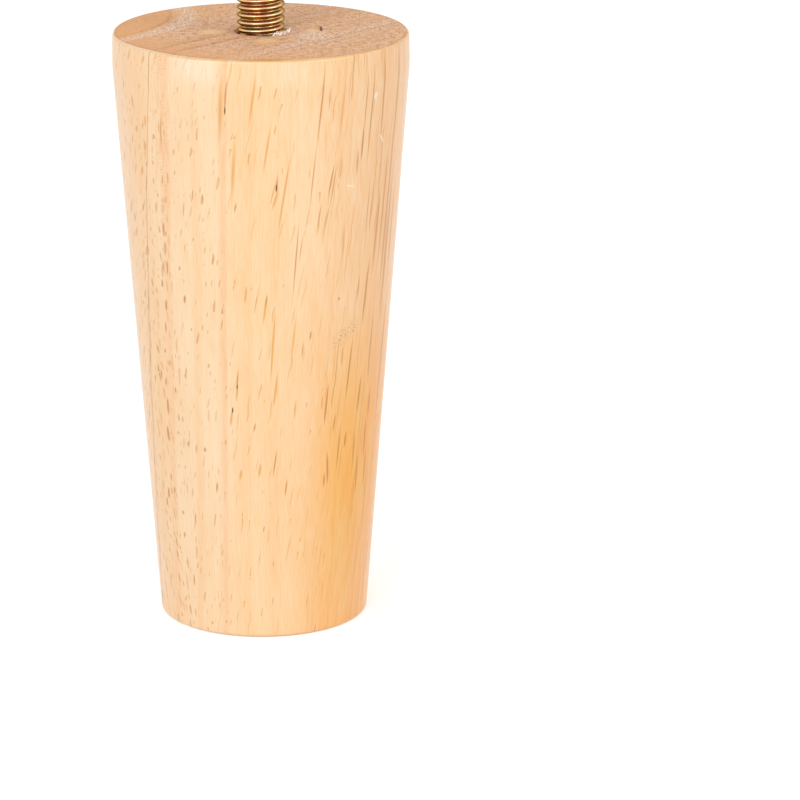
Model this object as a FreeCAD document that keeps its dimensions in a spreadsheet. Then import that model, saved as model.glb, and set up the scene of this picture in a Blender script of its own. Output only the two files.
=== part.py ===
import FreeCAD, Part
import os

import Sketcher

# Tapered wooden furniture leg with a threaded stud in its top.
#
# The leg stands on its narrow foot. The origin is at the middle of the foot, and +Z runs up the
# axis to the stud. It is made of two pieces:
#
# leg_body      one turned piece of hardwood: a cone that stops flaring in a short eased band below
#               its top, with rounded rims, a bore down from the top for the bolt, and on the foot
#               the two marks that the lathe's centre leaves: a small conical dimple and a pressed
#               ring around it.
# hanger_bolt   one steel bolt: a machine thread that stands out of the top and screws into the
#               furniture, a plain neck in the mouth of the bore, and a coarse wood thread with a
#               pilot point that holds it in the wood.
#
# The fine machine thread is drawn as its outer cylinder. The coarse wood thread is drawn in full,
# and the wood carries its impression. Lengths are in millimetres and angles in degrees.

FOLDER = "parts"

doc = FreeCAD.newDocument("furniture_leg")
sheet = doc.addObject("Spreadsheet::Sheet", "Sizes")

# Name, value in millimetres or degrees, and what it sizes
DRIVING_SIZES = [
    ("leg_length", 100.0, "wood, from the foot to the top face"),
    ("top_diameter", 50.0, "cone where its side would meet the top face"),
    ("foot_diameter", 35.0, "cone where its side would meet the foot"),
    ("rim_ease_height", 5.0, "eased band below the top face, where the side stops flaring"),
    ("rim_ease_inset", 0.5, "eased band's upper edge, in from where the cone would end"),
    ("top_edge_radius", 0.5, "rounding of the top rim"),
    ("foot_edge_radius", 0.8, "rounding of the foot rim"),
    ("centre_mark_diameter", 3.6, "dimple that the lathe centre's point leaves"),
    ("centre_angle", 60.0, "included angle of the lathe centre's point"),
    ("ring_mark_diameter", 21.4, "ring that the lathe centre's cup leaves, at its middle"),
    ("ring_mark_width", 0.7, "ring across its mouth"),
    ("ring_mark_depth", 0.4, "ring at its bottom"),
    ("stud_diameter", 7.9, "crest of the M8 machine thread"),
    ("stud_length", 25.0, "machine thread above the top face"),
    ("stud_end_chamfer", 0.9, "bevel on the stud's end and on the thread's start"),
    ("neck_relief", 0.4, "how far the plain neck lies under the machine thread's crest"),
    ("neck_length", 5.0, "plain shank below the top face"),
    ("screw_length", 30.0, "wood thread and point below the neck"),
    ("screw_point_length", 6.0, "conical pilot point"),
    ("screw_core_diameter", 5.4, "core of the wood thread"),
    ("screw_ridge_height", 1.2, "wood thread's ridge above its core"),
    ("screw_pitch", 3.2, "wood thread, from crest to crest"),
    ("screw_root_width", 1.5, "wood thread's ridge at the core"),
    ("screw_crest_width", 0.3, "wood thread's ridge at its crest"),
    ("neck_clearance", 0.15, "gap all round the neck"),
    ("bite_clearance", 0.04, "gap all round the wood thread and its core"),
    ("ridge_overlap", 0.3, "wood thread's ridge sunk in its core, so that the two fuse"),
    ("mouth_bevel", 0.8, "bevel at the mouth of the bore"),
    ("pilot_spare_depth", 3.0, "drilled depth left below the bolt's point"),
    ("drill_point_angle", 118.0, "included angle of the drill's point"),
]

# The plain neck's radius follows from the stud's
NECK_RADIUS = "(Sizes.stud_diameter / 2 - Sizes.neck_relief)"


def fill_sheet():
    """Writes each driving size in its own cell, with its name as the cell's alias."""
    for row, (name, value, meaning) in enumerate(DRIVING_SIZES, start=1):
        sheet.set(f"A{row}", name)
        sheet.set(f"B{row}", str(value))
        sheet.setAlias(f"B{row}", name)
        sheet.set(f"C{row}", meaning)
    doc.recompute()


def new_body(label):
    """An empty body whose label names the piece's file."""
    body = doc.addObject("PartDesign::Body", label)
    body.Label = label
    return body


def origin_plane(body, role):
    """One of a body's own origin planes, such as XZ_Plane."""
    return next(f for f in body.Origin.OriginFeatures if f.Role == role)


def profile_sketch(body, name, corners):
    """A closed outline in the body's XZ plane, with every corner tied to the sheet.

    Each corner is a pair of expressions: its distance from the axis, and its height.
    """
    sketch = body.newObject("Sketcher::SketchObject", name)
    sketch.AttachmentSupport = [(origin_plane(body, "XZ_Plane"), "")]
    sketch.MapMode = "FlatFace"
    points = [
        FreeCAD.Vector(sheet.evalExpression(x), sheet.evalExpression(z), 0) for x, z in corners
    ]
    for i, start in enumerate(points):
        sketch.addGeometry(Part.LineSegment(start, points[(i + 1) % len(points)]), False)
    for i in range(len(points)):
        sketch.addConstraint(
            Sketcher.Constraint("Coincident", i, 2, (i + 1) % len(points), 1)
        )
    for i, (corner, point) in enumerate(zip(corners, points)):
        tie_corner(sketch, i, "DistanceX", corner[0], point.x, -2)
        tie_corner(sketch, i, "DistanceY", corner[1], point.y, -1)
    return sketch


def tie_corner(sketch, line, kind, expression, value, axis):
    """Ties the start of a sketch line to the origin in one direction, or to the axis at zero."""
    if expression == "0":
        sketch.addConstraint(Sketcher.Constraint("PointOnObject", line, 1, axis))
        return
    index = sketch.addConstraint(Sketcher.Constraint(kind, -1, 1, line, 1, value))
    label = f"corner_{line}_{'out' if kind == 'DistanceX' else 'up'}"
    sketch.renameConstraint(index, label)
    sketch.setExpression(f"Constraints.{label}", expression)


def turned(body, kind, name, corners):
    """Adds (Revolution) or takes away (Groove) an outline turned all the way round the Z axis."""
    sketch = profile_sketch(body, name + "_profile", corners)
    feature = body.newObject(f"PartDesign::{kind}", name)
    feature.Profile = sketch
    feature.ReferenceAxis = (sketch, ["V_Axis"])
    feature.Angle = 360
    doc.recompute()
    return feature


def rounded_rim(body, name, base, height, radius_name):
    """Rounds the outer rim that lies at one height."""
    doc.recompute()
    rims = [
        (edge.BoundBox.XLength, f"Edge{i}")
        for i, edge in enumerate(base.Shape.Edges, start=1)
        if edge.BoundBox.ZLength < 1e-6 and abs(edge.BoundBox.ZMin - height) < 1e-6
    ]
    fillet = body.newObject("PartDesign::Fillet", name)
    fillet.Base = (base, [max(rims)[1]])
    fillet.Radius = sheet.get(radius_name)
    fillet.setExpression("Radius", f"Sizes.{radius_name}")
    doc.recompute()
    return fillet


def screw_ridge(body, kind, name, shoulder, clearance):
    """The wood thread's ridge as one helix, added to the bolt or cut in the wood.

    It starts above the pilot point and runs up to the neck. The shoulder is the height of the
    wood's top face, and the clearance grows the ridge all round.
    """
    start = f"{shoulder} - Sizes.neck_length - Sizes.screw_length + Sizes.screw_point_length"
    middle = f"{start} + Sizes.screw_root_width / 2"
    sunk = "Sizes.screw_core_diameter / 2 - Sizes.ridge_overlap"
    crest = f"Sizes.screw_core_diameter / 2 + Sizes.screw_ridge_height + {clearance}"
    half_root = f"(Sizes.screw_root_width / 2 + {clearance})"
    half_crest = f"(Sizes.screw_crest_width / 2 + {clearance})"
    sketch = profile_sketch(
        body,
        name + "_profile",
        [
            (sunk, f"{middle} - {half_root}"),
            (crest, f"{middle} - {half_crest}"),
            (crest, f"{middle} + {half_crest}"),
            (sunk, f"{middle} + {half_root}"),
        ],
    )
    helix = body.newObject(f"PartDesign::{kind}", name)
    helix.Profile = sketch
    helix.ReferenceAxis = (sketch, ["V_Axis"])
    helix.Mode = "pitch-height-angle"
    run = "Sizes.screw_length - Sizes.screw_point_length - Sizes.screw_root_width"
    helix.Pitch = sheet.get("screw_pitch")
    helix.Height = sheet.evalExpression(run)
    helix.setExpression("Pitch", "Sizes.screw_pitch")
    helix.setExpression("Height", run)
    helix.LeftHanded = False
    helix.Reversed = False
    doc.recompute()
    return helix


def make_leg_body():
    """The turned wood: a cone with an eased band and rims, the bore and the lathe's marks."""
    body = new_body("leg_body")
    # The cone's side leaves its straight line where the eased band starts
    ease = "(Sizes.leg_length - Sizes.rim_ease_height)"
    flare = f"(Sizes.top_diameter - Sizes.foot_diameter) / 2 * {ease} / Sizes.leg_length"
    cone = turned(
        body,
        "Revolution",
        "cone",
        [
            ("0", "0"),
            ("Sizes.foot_diameter / 2", "0"),
            (f"Sizes.foot_diameter / 2 + {flare}", ease),
            ("Sizes.top_diameter / 2 - Sizes.rim_ease_inset", "Sizes.leg_length"),
            ("0", "Sizes.leg_length"),
        ],
    )
    top_rim = rounded_rim(body, "top_rim", cone, sheet.get("leg_length"), "top_edge_radius")
    rounded_rim(body, "foot_rim", top_rim, 0.0, "foot_edge_radius")
    cut_bore(body)
    cut_foot_marks(body)
    return body


def cut_bore(body):
    """The bore from the top face: bevelled mouth, neck seat, pilot hole and the thread's bite."""
    top = "Sizes.leg_length"
    neck = f"({NECK_RADIUS} + Sizes.neck_clearance)"
    pilot = "(Sizes.screw_core_diameter / 2 + Sizes.bite_clearance)"
    seat = f"{top} - Sizes.neck_length"
    bottom = f"{seat} - Sizes.screw_length - Sizes.pilot_spare_depth"
    turned(
        body,
        "Groove",
        "bore",
        [
            ("0", top),
            ("0", f"{bottom} - {pilot} / tan(Sizes.drill_point_angle / 2 * 1 deg)"),
            (pilot, bottom),
            (pilot, seat),
            (neck, seat),
            (neck, f"{top} - Sizes.mouth_bevel"),
            (f"{neck} + Sizes.mouth_bevel", top),
        ],
    )
    screw_ridge(body, "SubtractiveHelix", "thread_bite", top, "Sizes.bite_clearance")


def cut_foot_marks(body):
    """The lathe centre's marks on the foot: the point's dimple and the cup's ring."""
    turned(
        body,
        "Groove",
        "centre_mark",
        [
            ("0", "0"),
            ("Sizes.centre_mark_diameter / 2", "0"),
            ("0", "Sizes.centre_mark_diameter / 2 / tan(Sizes.centre_angle / 2 * 1 deg)"),
        ],
    )
    ring = "Sizes.ring_mark_diameter / 2"
    turned(
        body,
        "Groove",
        "ring_mark",
        [
            (f"{ring} - Sizes.ring_mark_width / 2", "0"),
            (f"{ring} + Sizes.ring_mark_width / 2", "0"),
            (ring, "Sizes.ring_mark_depth"),
        ],
    )


def make_hanger_bolt():
    """The bolt, drawn with its own zero at the wood's top face and then set at that height."""
    body = new_body("hanger_bolt")
    stud = "Sizes.stud_diameter / 2"
    neck = NECK_RADIUS
    core = "Sizes.screw_core_diameter / 2"
    tip = "-Sizes.neck_length - Sizes.screw_length"
    turned(
        body,
        "Revolution",
        "shank",
        [
            ("0", tip),
            (core, f"{tip} + Sizes.screw_point_length"),
            (core, "-Sizes.neck_length - Sizes.bite_clearance"),
            (neck, f"-Sizes.neck_length + {neck} - {core}"),
            (neck, "-Sizes.neck_relief"),
            (stud, "0"),
            (stud, "Sizes.stud_length - Sizes.stud_end_chamfer"),
            (f"{stud} - Sizes.stud_end_chamfer", "Sizes.stud_length"),
            ("0", "Sizes.stud_length"),
        ],
    )
    screw_ridge(body, "AdditiveHelix", "wood_thread", "0", "0")
    body.setExpression(".Placement.Base.z", "Sizes.leg_length")
    return body


def check_document():
    """Stops with a message if any object of the document failed."""
    doc.recompute()
    failed = [o.Name for o in doc.Objects if {"Invalid", "Error"} & set(o.State)]
    if failed:
        raise RuntimeError(f"these objects failed: {failed}")


def write_piece(body):
    """Writes one piece as a STEP file that carries its label."""
    shape = body.Shape
    if shape.isNull() or not shape.isValid() or not shape.Solids:
        raise RuntimeError(f"{body.Label} is no valid solid")
    shape.exportStep(os.path.join(FOLDER, body.Label + ".step"))
    print(f"{body.Label}: {len(shape.Solids)} solid, {shape.Volume / 1000:.2f} cm3")


fill_sheet()
pieces = [make_leg_body(), make_hanger_bolt()]
check_document()
os.makedirs(FOLDER, exist_ok=True)
for piece in pieces:
    write_piece(piece)
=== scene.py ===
# %% [markdown]
# # A tapered wooden furniture leg
#
# A turned leg of pale hardwood stands on its narrow foot, with a threaded stud in its top. The
# solids come from the workshop drawing as a fixed frame: they say where the wood and the bolt are,
# and this lesson gives both their look.

# %% Load the frame
import math

import bpy
import mathutils
import numpy as np
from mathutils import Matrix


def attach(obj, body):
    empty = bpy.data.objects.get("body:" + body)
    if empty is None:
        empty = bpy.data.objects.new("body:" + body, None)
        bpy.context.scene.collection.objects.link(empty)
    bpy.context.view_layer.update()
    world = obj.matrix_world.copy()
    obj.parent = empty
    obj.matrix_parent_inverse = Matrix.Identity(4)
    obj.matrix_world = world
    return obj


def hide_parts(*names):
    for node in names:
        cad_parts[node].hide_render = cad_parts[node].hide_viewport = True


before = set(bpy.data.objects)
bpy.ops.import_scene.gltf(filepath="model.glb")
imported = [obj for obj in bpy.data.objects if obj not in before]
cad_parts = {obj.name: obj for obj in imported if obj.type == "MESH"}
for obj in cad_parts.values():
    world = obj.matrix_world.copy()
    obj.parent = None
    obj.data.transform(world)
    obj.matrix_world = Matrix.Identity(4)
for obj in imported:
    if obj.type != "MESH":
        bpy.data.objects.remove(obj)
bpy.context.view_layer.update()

# %% [markdown]
# ## The camera
#
# A product photograph like this is taken from a little above with a long lens, so the leg's sides
# hardly converge. The place, tilt and focal length were worked out from the leg's outline: its two
# sides, the ellipse of its top face and the sizes taken for it. The camera stands a little to the
# right of the leg's axis, which puts the leg in the left half of the picture.

# %% Camera
CAMERA_PLACE = (0.02317, -0.70149, 0.24357)
CAMERA_TILT_DOWN = 16.443
CAMERA_ROLL = 0.196
CAMERA_LENS = 194.48

lens = bpy.data.cameras.new("studio_camera")
lens.lens = CAMERA_LENS
lens.sensor_width = 36
lens.clip_start = 0.01
camera = bpy.data.objects.new("studio_camera", lens)
camera.location = CAMERA_PLACE
aim = mathutils.Euler((math.radians(90 - CAMERA_TILT_DOWN), 0, math.radians(CAMERA_ROLL)), "ZYX")
camera.rotation_euler = aim.to_matrix().to_euler()
bpy.context.collection.objects.link(camera)
bpy.context.scene.camera = camera
bpy.context.scene.view_settings.view_transform = "Standard"
print("camera", CAMERA_PLACE, "lens", CAMERA_LENS)

# %% [markdown]
# ## A short way to write a finish
#
# A material in Blender is a tree of small nodes. This helper adds one node per call and hands back
# its output, so a finish reads like a recipe: a number, a colour or another node's output can be
# given wherever a node takes an input.

# %% The finish helper
class Finish:
    """A material, and a short way to write its nodes."""

    def __init__(self, name):
        self.material = bpy.data.materials.new(name)
        self.material.use_nodes = True
        self.tree = self.material.node_tree
        self.shader = self.tree.nodes["Principled BSDF"]

    def feed(self, socket, value):
        """Gives a socket a number or colour of its own, or the output of another node."""
        if isinstance(value, bpy.types.NodeSocket):
            self.tree.links.new(value, socket)
        else:
            socket.default_value = value

    def give(self, name, value):
        """Feeds one input of the shader."""
        self.feed(self.shader.inputs[name], value)

    def node(self, kind, inputs, output=0, **settings):
        """Adds one node. inputs maps each input's name or number to what goes into it."""
        node = self.tree.nodes.new(kind)
        for key, value in settings.items():
            setattr(node, key, value)
        for key, value in inputs.items():
            self.feed(node.inputs[key], value)
        return node.outputs[output] if output is not None else node

    def calc(self, operation, *values):
        """One step of arithmetic: ABSOLUTE, DIVIDE, LESS_THAN and so on."""
        return self.node("ShaderNodeMath", dict(enumerate(values)), operation=operation)

    def times(self, first, *others):
        """The product of all inputs."""
        for other in others:
            first = self.calc("MULTIPLY", first, other)
        return first

    def plus(self, first, second):
        """The sum of two inputs."""
        return self.calc("ADD", first, second)

    def minus(self, first, second):
        """The first less the second."""
        return self.calc("SUBTRACT", first, second)

    def larger(self, first, *others):
        """The largest of all inputs."""
        for other in others:
            first = self.calc("MAXIMUM", first, other)
        return first

    def length(self, x, y):
        """The square root of x squared plus y squared."""
        return self.calc("SQRT", self.calc("MULTIPLY_ADD", x, x, self.times(y, y)))

    def rise(self, value, low, high):
        """0 below low, 1 above high and a soft step between. With low above high it falls."""
        inputs = {"Value": value, "From Min": low, "From Max": high}
        return self.node("ShaderNodeMapRange", inputs, interpolation_type="SMOOTHSTEP")

    def span(self, value, low, high, start, end):
        """Carries value from the range low to high over to the range start to end."""
        inputs = {"Value": value, "From Min": low, "From Max": high, "To Min": start, "To Max": end}
        return self.node("ShaderNodeMapRange", inputs)

    def bump_round(self, value, middle, reach):
        """1 at the middle, falling softly to 0 at the reach on both sides."""
        gap = self.calc("ABSOLUTE", self.minus(value, middle))
        return self.rise(gap, reach, 0.0)

    def blend(self, share, first, second, kind="MIX"):
        """Goes from the first colour to the second by a share of 0 to 1."""
        inputs = {0: share, 6: first, 7: second}
        settings = {"data_type": "RGBA", "blend_type": kind, "clamp_factor": True}
        return self.node("ShaderNodeMix", inputs, 2, **settings)

    def tint(self, under, tone, share, amount):
        """Lays a tone over a colour by a share times an amount."""
        return self.blend(self.times(share, amount), under, tone)

    def pick(self, share, first, second):
        """Goes from the first number to the second by a share of 0 to 1."""
        return self.node("ShaderNodeMix", {0: share, 2: first, 3: second}, 0)

    def vector(self, x, y, z=0.0):
        """Three numbers as one vector."""
        return self.node("ShaderNodeCombineXYZ", {0: x, 1: y, 2: z})

    def noise(self, vector, scale=1.0, detail=2.0, roughness=0.5):
        """Soft cloudy noise around 0.5."""
        inputs = {"Vector": vector, "Scale": scale, "Detail": detail, "Roughness": roughness}
        return self.node("ShaderNodeTexNoise", inputs)


def colour(red, green, blue):
    """A colour in linear light, as Blender takes it."""
    return (red, green, blue, 1.0)


print("finish helper ready")

# %% [markdown]
# ## Floor, background and light
#
# The leg stands on a plain pale floor that runs out into a white room. The floor is matt, and gives
# a little light of its own to the eye only, so that it reads as white and still takes the leg's
# shadow. The light is soft: a large panel in front and to the left, a weaker one at the right, and
# the even light of the room. It comes more from the front than from above, so the top face is the
# darker one.

# %% Floor and room
ROOM_LIGHT = 0.66
FLOOR_COLOUR = colour(0.86, 0.86, 0.86)
FLOOR_LIFT = 0.42


def seen_by_eye(tree):
    """1 for what the eye sees directly, in a reflection or through glass, and 0 for other light."""
    paths = tree.nodes.new("ShaderNodeLightPath")
    total = paths.outputs["Is Camera Ray"]
    for name in ("Is Glossy Ray", "Is Transmission Ray"):
        larger = tree.nodes.new("ShaderNodeMath")
        larger.operation = "MAXIMUM"
        tree.links.new(total, larger.inputs[0])
        tree.links.new(paths.outputs[name], larger.inputs[1])
        total = larger.outputs[0]
    return total


floor_mesh = bpy.data.meshes.new("floor")
floor_mesh.from_pydata([(-3, -3, 0), (3, -3, 0), (3, 3, 0), (-3, 3, 0)], [], [(0, 1, 2, 3)])
floor = bpy.data.objects.new("floor", floor_mesh)
bpy.context.collection.objects.link(floor)

pale_floor = Finish("pale_floor")
pale_floor.give("Base Color", FLOOR_COLOUR)
pale_floor.give("Roughness", 0.9)
pale_floor.give("Specular IOR Level", 0.0)
pale_floor.give("Emission Color", colour(1, 1, 1))
lift = pale_floor.times(seen_by_eye(pale_floor.tree), FLOOR_LIFT)
pale_floor.give("Emission Strength", lift)
floor_mesh.materials.append(pale_floor.material)

room = bpy.data.worlds.new("white_room")
room.use_nodes = True
room_light = room.node_tree.nodes["Background"]
room_light.inputs["Color"].default_value = colour(1, 1, 1)
brighter = room.node_tree.nodes.new("ShaderNodeMapRange")
brighter.inputs["To Min"].default_value = ROOM_LIGHT
room.node_tree.links.new(seen_by_eye(room.node_tree), brighter.inputs["Value"])
room.node_tree.links.new(brighter.outputs[0], room_light.inputs["Strength"])
bpy.context.scene.world = room
print("floor and room ready")


# %% Light panels
def light_panel(name, turn, rise, distance, size, power):
    """A square soft panel that faces the leg. It stands at an angle turned from the front, to the
    right when positive, and at an angle risen above the floor."""
    lamp = bpy.data.lights.new(name, "AREA")
    lamp.shape = "SQUARE"
    lamp.size = size
    lamp.energy = power
    panel = bpy.data.objects.new(name, lamp)
    turn, rise = math.radians(turn), math.radians(rise)
    away = (math.sin(turn) * math.cos(rise), -math.cos(turn) * math.cos(rise), math.sin(rise))
    panel.location = (away[0] * distance, away[1] * distance, away[2] * distance + 0.05)
    panel.rotation_euler = (math.pi / 2 - rise, 0, turn)
    bpy.context.collection.objects.link(panel)
    return panel


key_panel = light_panel("key_panel", -24, 30, 1.3, 0.8, 6.2)
side_panel = light_panel("side_panel", 62, 28, 1.4, 0.6, 3.6)
print("light panels:", key_panel.name, side_panel.name)

# %% [markdown]
# ## Meshes from grids of points
#
# Both pieces are round, so both are made the same way: a profile of points, each with a distance
# from the axis and a height, is carried round the axis. numpy works out the whole grid at once. On a
# thread the grid leans: each row climbs one pitch in a turn, so its end meets the row one pitch
# higher at the seam, and the crests and roots lie exactly on rows.

# %% Grid helpers
MM = 0.001


def put_in_mesh(name, points, faces, sharp=35):
    """A mesh object from points in millimetres and four-cornered faces as whole arrays. Corners that
    lie on one point are joined to one, and faces left with no area are dropped."""
    _, first, same = np.unique(np.round(points, 5), axis=0, return_index=True, return_inverse=True)
    faces = same.reshape(-1)[faces]
    flat = faces == np.roll(faces, 1, axis=1)
    squares = faces[flat.sum(axis=1) == 0]
    corners = faces[flat.sum(axis=1) == 1]
    keep = ~flat[flat.sum(axis=1) == 1]
    triangles = corners[keep].reshape(-1, 3)
    mesh = bpy.data.meshes.new(name)
    mesh.from_pydata((points[first] * MM).tolist(), [], squares.tolist() + triangles.tolist())
    mesh.shade_smooth()
    mesh.set_sharp_from_angle(angle=math.radians(sharp))
    piece = bpy.data.objects.new(name, mesh)
    bpy.context.collection.objects.link(piece)
    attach(piece, "root")
    return piece


def round_grid(radius, height, turn_of_column, rows_per_turn=0):
    """Points and faces of a grid carried round the axis: x = radius cos(turn), y = radius
    sin(turn), z = height. Its last column meets its first, that many rows higher on a thread."""
    rows, columns = radius.shape
    points = np.stack(
        [radius * np.cos(turn_of_column), radius * np.sin(turn_of_column), height], axis=-1
    ).reshape(-1, 3)
    row, column = np.meshgrid(np.arange(rows - 1), np.arange(columns), indexing="ij")
    step = np.where(column == columns - 1, rows_per_turn, 0)
    beside = (column + 1) % columns
    faces = np.stack(
        [
            row * columns + column,
            (row + step) * columns + beside,
            (row + 1 + step) * columns + beside,
            (row + 1) * columns + column,
        ],
        axis=-1,
    )
    inside = row + 1 + step < rows
    return points, faces[inside]


def soft_step(value, low, high):
    """0 below low, 1 above high and 3t^2 - 2t^3 between."""
    share = np.clip((value - low) / (high - low), 0, 1)
    return share * share * (3 - 2 * share)


print("grid helpers ready")

# %% [markdown]
# ## The threads
#
# This machine thread is rolled and thickly plated, so its crests and roots are round, and its section
# is close to a wave. A wood thread is coarse, with a sharp ridge on a slim core. Each is written as a
# depth under the crest that depends only on the phase: how far a point is along the pitch from the
# nearest crest.

# %% Thread profiles
STUD_RADIUS = 3.95
STUD_PITCH = 1.25
STUD_DEPTH = 0.5 * STUD_PITCH
CREST_WIDTH = 1.25
STUD_START = -0.3
STUD_PHASES = np.arange(16) / 16
SCREW_CORE = 2.7
SCREW_RIDGE = 1.2
SCREW_PITCH = 3.2
RIDGE_TOP_END = 0.047
RIDGE_FOOT = 0.234
SCREW_PHASES = np.array([0, 0.047, 0.11, 0.172, 0.234, 0.36, 0.5, 0.64, 0.766, 0.828, 0.89, 0.953])


def stud_depth(phase):
    """Depth under the crest of the machine thread: half of 1 - cos over one pitch, bent so that the
    crests are wider than the roots."""
    gap = np.abs((phase + 0.5) % 1 - 0.5)
    return STUD_DEPTH * (0.5 - 0.5 * np.cos(2 * np.pi * gap)) ** CREST_WIDTH


def screw_ridge(phase):
    """Height over the core of the wood thread: a blunt crest and straight flanks to the core."""
    gap = np.abs((phase + 0.5) % 1 - 0.5)
    return SCREW_RIDGE * np.clip((RIDGE_FOOT - gap) / (RIDGE_FOOT - RIDGE_TOP_END), 0, 1)


def threaded_grid(low, high, pitch, phases, radius_of, columns, start=0.0):
    """The grid of a right-hand thread between two heights. A row's height is its place along the
    pitch plus one pitch for each full turn, held between the two ends, and radius_of(phase, height)
    gives its distance from the axis."""
    turns = np.arange(math.floor((low - start) / pitch) - 1, math.ceil((high - start) / pitch) + 1)
    rows = (turns[:, None] + phases[None, :]).reshape(-1) * pitch + start
    phase = np.tile(phases, len(turns))[:, None] * np.ones(columns)
    turn = np.arange(columns) / columns
    height = np.clip(rows[:, None] + pitch * turn, low, high)
    true_phase = np.where(
        (height > low) & (height < high), phase, (height - start) / pitch - turn
    )
    return round_grid(radius_of(true_phase, height), height, 2 * np.pi * turn, len(phases))


print("machine thread", STUD_PITCH, "painted_root_shade", round(STUD_DEPTH, 3), "wood thread", SCREW_PITCH)

# %% [markdown]
# ## The hanger bolt
#
# One bolt holds the leg: its upper half is an M8 machine thread that stands out of the wood, and its
# lower half is a wood thread in the bore. Between them is a short plain neck.
# The sections are grids that end in rings of the same points, so joining the doubled points makes
# one closed skin.

# %% Bolt mesh
LEG_LENGTH = 100.0
STUD_TOP = LEG_LENGTH + 25.0
STUD_BEVEL = 0.9
NECK_RADIUS = 3.55
NECK_TOP = LEG_LENGTH - 0.4
SCREW_TOP = LEG_LENGTH - 5.0
POINT_START = LEG_LENGTH - 29.0
POINT_TIP = LEG_LENGTH - 35.0
BOLT_COLUMNS = 96


def stud_radius(phase, height):
    """The thread's crest less its depth, never outside the end's bevel, and running out into the
    neck just under the wood's face."""
    thread = STUD_RADIUS - stud_depth(phase)
    bevel = STUD_RADIUS - np.clip(height - (STUD_TOP - STUD_BEVEL), 0, None)
    run_out = soft_step(height, NECK_TOP, NECK_TOP + 0.35)
    return np.minimum(NECK_RADIUS + (thread - NECK_RADIUS) * run_out, bevel)


def screw_fade(height):
    """1 along the wood thread, falling softly to 0 at both its ends."""
    return soft_step(height, POINT_START, POINT_START + 3) * soft_step(height, SCREW_TOP, SCREW_TOP - 2)


def screw_radius(phase, height):
    """The core plus the ridge, which fades out at both ends."""
    return SCREW_CORE + screw_ridge(phase) * screw_fade(height)


def plain_grid(radii, heights, columns):
    """The grid of a plain turned profile."""
    turn = 2 * np.pi * np.arange(columns) / columns
    radius = np.array(radii)[:, None] * np.ones(columns)
    height = np.array(heights)[:, None] * np.ones(columns)
    return round_grid(radius, height, turn)


def join_grids(grids):
    """One list of points and one of faces from several grids."""
    starts = np.cumsum([0] + [len(points) for points, _ in grids[:-1]])
    points = np.concatenate([points for points, _ in grids])
    faces = np.concatenate([faces + start for (_, faces), start in zip(grids, starts)])
    return points, faces


bolt_grids = [
    plain_grid([0, SCREW_CORE], [POINT_TIP, POINT_START], BOLT_COLUMNS),
    threaded_grid(POINT_START, SCREW_TOP, SCREW_PITCH, SCREW_PHASES, screw_radius, BOLT_COLUMNS),
    plain_grid(
        [SCREW_CORE, NECK_RADIUS, NECK_RADIUS], [SCREW_TOP, SCREW_TOP + 0.85, NECK_TOP], BOLT_COLUMNS
    ),
    threaded_grid(NECK_TOP, STUD_TOP, STUD_PITCH, STUD_PHASES, stud_radius, BOLT_COLUMNS, STUD_START),
    plain_grid([STUD_RADIUS - STUD_BEVEL, 1.5, 0], [STUD_TOP] * 3, BOLT_COLUMNS),
]
bolt = put_in_mesh("steel_hanger_bolt", *join_grids(bolt_grids))
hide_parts("hanger_bolt")
print("bolt:", len(bolt.data.vertices), "points", len(bolt.data.polygons), "faces")

# %% [markdown]
# ## The turned wood
#
# The leg is turned between centres: a straight cone that stops flaring five millimetres below its
# top, where sanding the end has eased it. The lathe's cup centre leaves a dimple and a pressed ring
# on the foot, and the bolt's bore goes in from the top.
# The profile runs from the foot's middle out over the foot, up the side, over the top and down the
# bore, so it closes at the axis at both ends. The wood thread's bite is in the bore's wall.

# %% Leg profile
TOP_RADIUS = 25.0
FOOT_RADIUS = 17.5
TAPER = (TOP_RADIUS - FOOT_RADIUS) / LEG_LENGTH
EASE_START = LEG_LENGTH - 5.0
EASE_RADIUS = TOP_RADIUS - 0.5
RIM_ROUND = 0.5
FOOT_ROUND = 0.8
DIMPLE_DEPTH = 3.1
DIMPLE_RADIUS = 1.75
BITE_GAP = 0.04
PILOT_RADIUS = SCREW_CORE + BITE_GAP
MOUTH_RADIUS = NECK_RADIUS + 0.15
MOUTH_BEVEL = 0.8
BORE_BOTTOM = POINT_TIP - 3.0


def arc(radius, height, size, start, end, steps):
    """Points on a round of a given size about a middle point, from one angle to another."""
    angle = np.radians(np.linspace(start, end, steps))
    return np.stack([radius + size * np.cos(angle), height + size * np.sin(angle)], axis=-1)


def line(start, end, steps):
    """Points evenly spaced on a straight line, its two ends among them."""
    share = np.linspace(0, 1, steps)[:, None]
    return np.array(start) * (1 - share) + np.array(end) * share


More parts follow.
